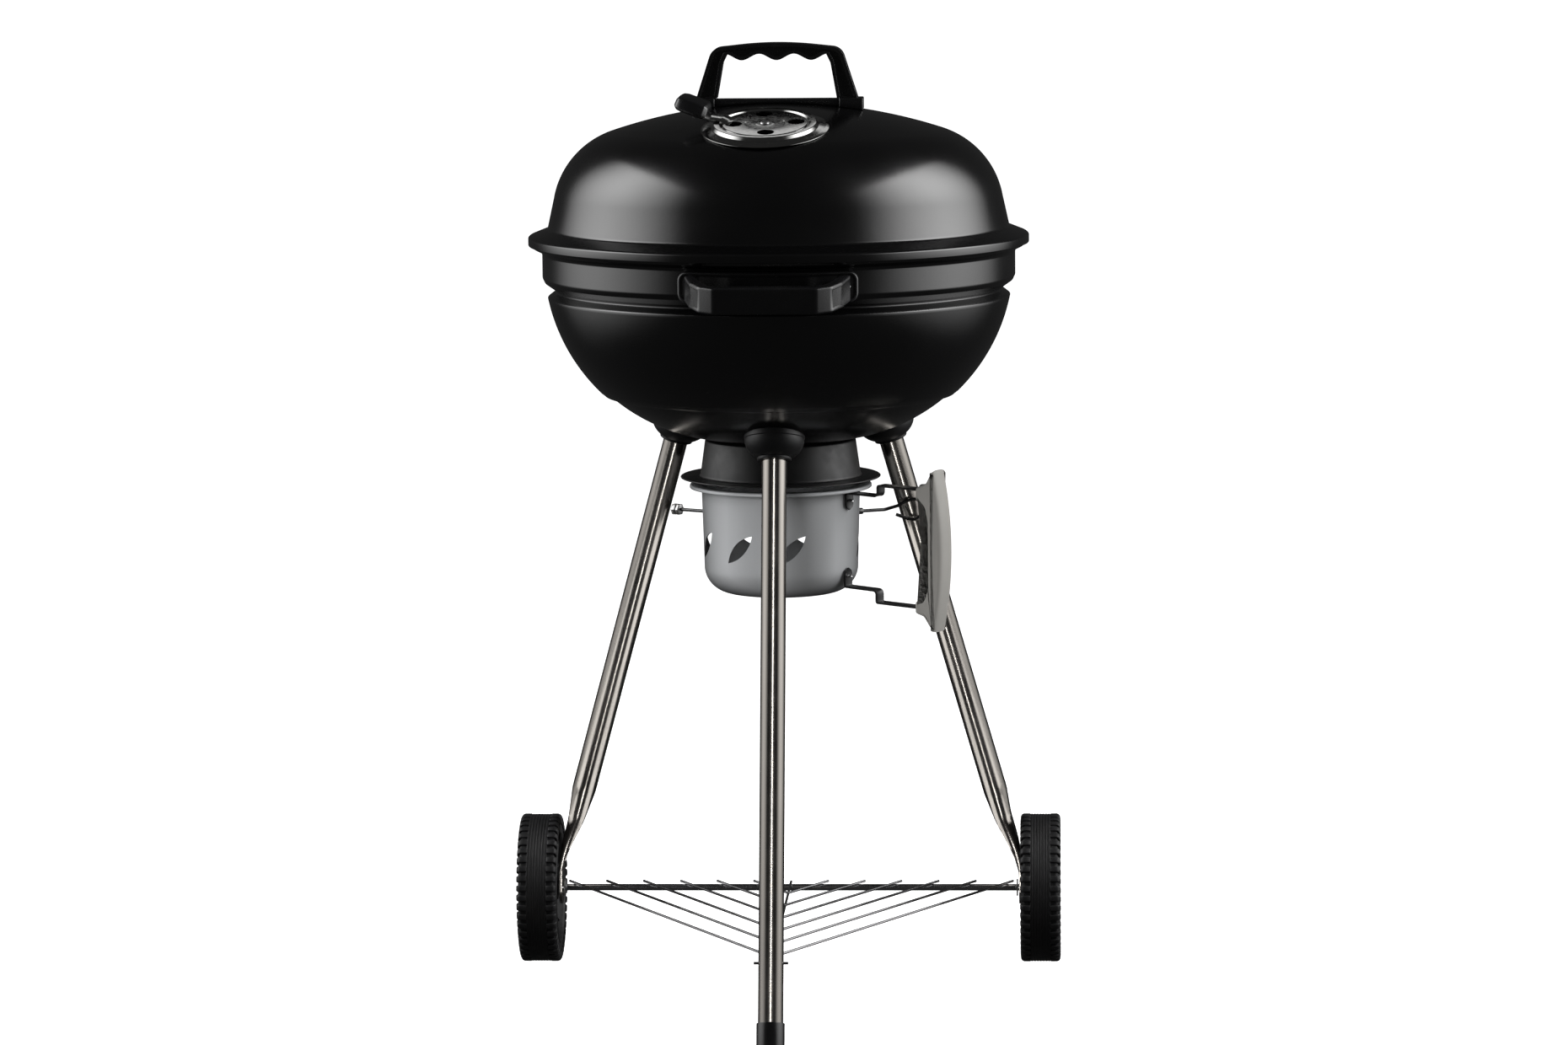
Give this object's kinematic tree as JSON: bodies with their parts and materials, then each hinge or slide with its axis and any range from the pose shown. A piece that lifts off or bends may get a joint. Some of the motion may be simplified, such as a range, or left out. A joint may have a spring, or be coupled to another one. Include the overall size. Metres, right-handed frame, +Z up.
{
  "type": "kettle charcoal grill",
  "caption": "Round kettle charcoal grill with a domed lid and vent, rounded bowl, hanging ash pot, leaning tube legs, wheels and a wire rack.",
  "frame": {"origin": "on the ground, under the middle of the grill's bounding box", "axes": "+Z up along the kettle's axis; -Y towards the front leg and the bowl handle; X along the axle"},
  "size_m": [0.566, 0.5759, 0.9705],
  "materials": {
    "enamel_black": "glossy enamel",
    "handle_black": "glossy moulded",
    "socket_black": "satin moulded",
    "zinc_steel": "bright zinc",
    "polished_steel": "polished",
    "leg_steel": "brushed along the tube",
    "wire_chrome": "bright plating",
    "collar_black": "satin enamel",
    "strap_black": "satin paint",
    "pot_grey": "satin metallic paint",
    "handle_grey": "satin moulded",
    "wheel_black": "satin moulded",
    "hub_grey": "satin moulded",
    "grate_steel": "bare steel rod"
  },
  "bodies": {
    "stand": {"bowl": "enamel_black", "bowl_handle": "handle_black", "bowl_handle_bracket": "handle_black", "bowl_handle_bolts": "zinc_steel", "ash_collar": "collar_black", "collar_screws": "zinc_steel", "leg_socket_front": "socket_black", "leg_socket_left": "socket_black", "leg_socket_right": "socket_black", "socket_bolts": "zinc_steel", "leg_front": "leg_steel", "leg_left": "leg_steel", "leg_right": "leg_steel", "foot_cap": "socket_black", "axle": "wire_chrome", "axle_washers": "zinc_steel", "axle_caps": "socket_black", "rack": "wire_chrome", "rack_pin": "wire_chrome"},
    "charcoal_grate": {"charcoal_grate": "grate_steel"},
    "cooking_grate": {"cooking_grate": "wire_chrome"},
    "lid": {"lid": "enamel_black", "lid_handle": "handle_black", "lid_handle_base": "handle_black", "lid_handle_screws": "zinc_steel", "damper_seat": "polished_steel", "damper_rivet": "polished_steel"},
    "damper": {"damper_disc": "polished_steel", "damper_knob": "handle_black"},
    "wheel_left": {"wheel_left": "wheel_black", "hub_left": "hub_grey"},
    "wheel_right": {"wheel_right": "wheel_black", "hub_right": "wheel_black"},
    "ash_pot": {"ash_pot": "pot_grey", "strap_upper": "strap_black", "strap_lower": "strap_black", "strap_screws": "zinc_steel", "pot_handle": "handle_grey", "handle_pins": "zinc_steel", "hanger_left": "strap_black", "hanger_nut": "zinc_steel", "hanger_right": "wire_chrome"}
  },
  "joints": [
    {"name": "charcoal_grate_lift", "type": "slide", "parent": "stand", "child": "charcoal_grate", "axis": [0, 0, 1], "range_m": [0, 0.1]},
    {"name": "cooking_grate_lift", "type": "slide", "parent": "charcoal_grate", "child": "cooking_grate", "axis": [0, 0, 1], "range_m": [0, 0.15]},
    {"name": "lid_lift", "type": "slide", "parent": "cooking_grate", "child": "lid", "axis": [0, 0, 1], "range_m": [0, 0.25]},
    {"name": "damper_turn", "type": "hinge", "parent": "lid", "child": "damper", "pos_m": [-0.00654, -0.09038, 0.89465], "axis": [-0.0122, -0.2325, 0.9725], "range_deg": [0, 45]},
    {"name": "wheel_left_spin", "type": "hinge", "parent": "stand", "child": "wheel_left", "pos_m": [-0.262, 0.17586, 0.0775], "axis": [1, 0, 0], "continuous": true},
    {"name": "wheel_right_spin", "type": "hinge", "parent": "stand", "child": "wheel_right", "pos_m": [0.262, 0.17586, 0.0775], "axis": [1, 0, 0], "continuous": true},
    {"name": "ash_pot_lower", "type": "slide", "parent": "stand", "child": "ash_pot", "axis": [0, 0, -1], "range_m": [0, 0.15]}
  ]
}
